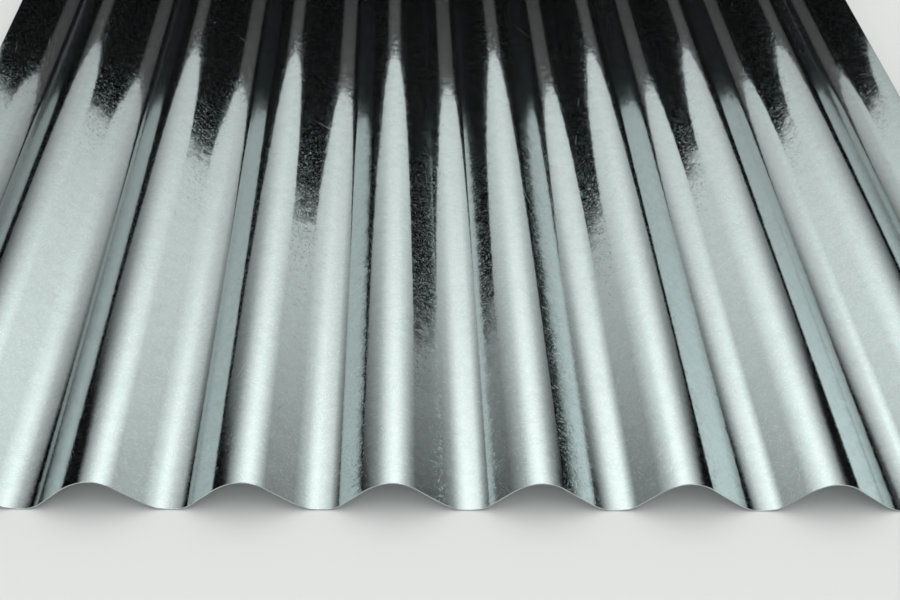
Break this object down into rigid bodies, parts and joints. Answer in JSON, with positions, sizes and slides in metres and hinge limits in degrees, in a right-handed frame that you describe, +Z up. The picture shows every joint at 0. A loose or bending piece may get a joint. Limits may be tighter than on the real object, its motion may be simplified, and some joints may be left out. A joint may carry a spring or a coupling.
{
  "type": "corrugated metal sheet",
  "caption": "Flat-lying length of galvanised steel roofing sheet, rolled into regular rounded corrugations along its length, with plain cut ends and slit sides.",
  "frame": {"origin": "under the middle of the sheet, level with the undersides of the troughs", "axes": "+X across the corrugations, +Y along the corrugations (the sheet's length), +Z up out of the sheet's upper face"},
  "size_m": [0.6702, 2, 0.0184],
  "materials": {
    "galvanised_steel": "bright hot-dip zinc coating, smooth, with a very fine hair-like grain and a few light scratches"
  },
  "bodies": {
    "root": {"corrugated_sheet": "galvanised_steel"}
  },
  "joints": []
}
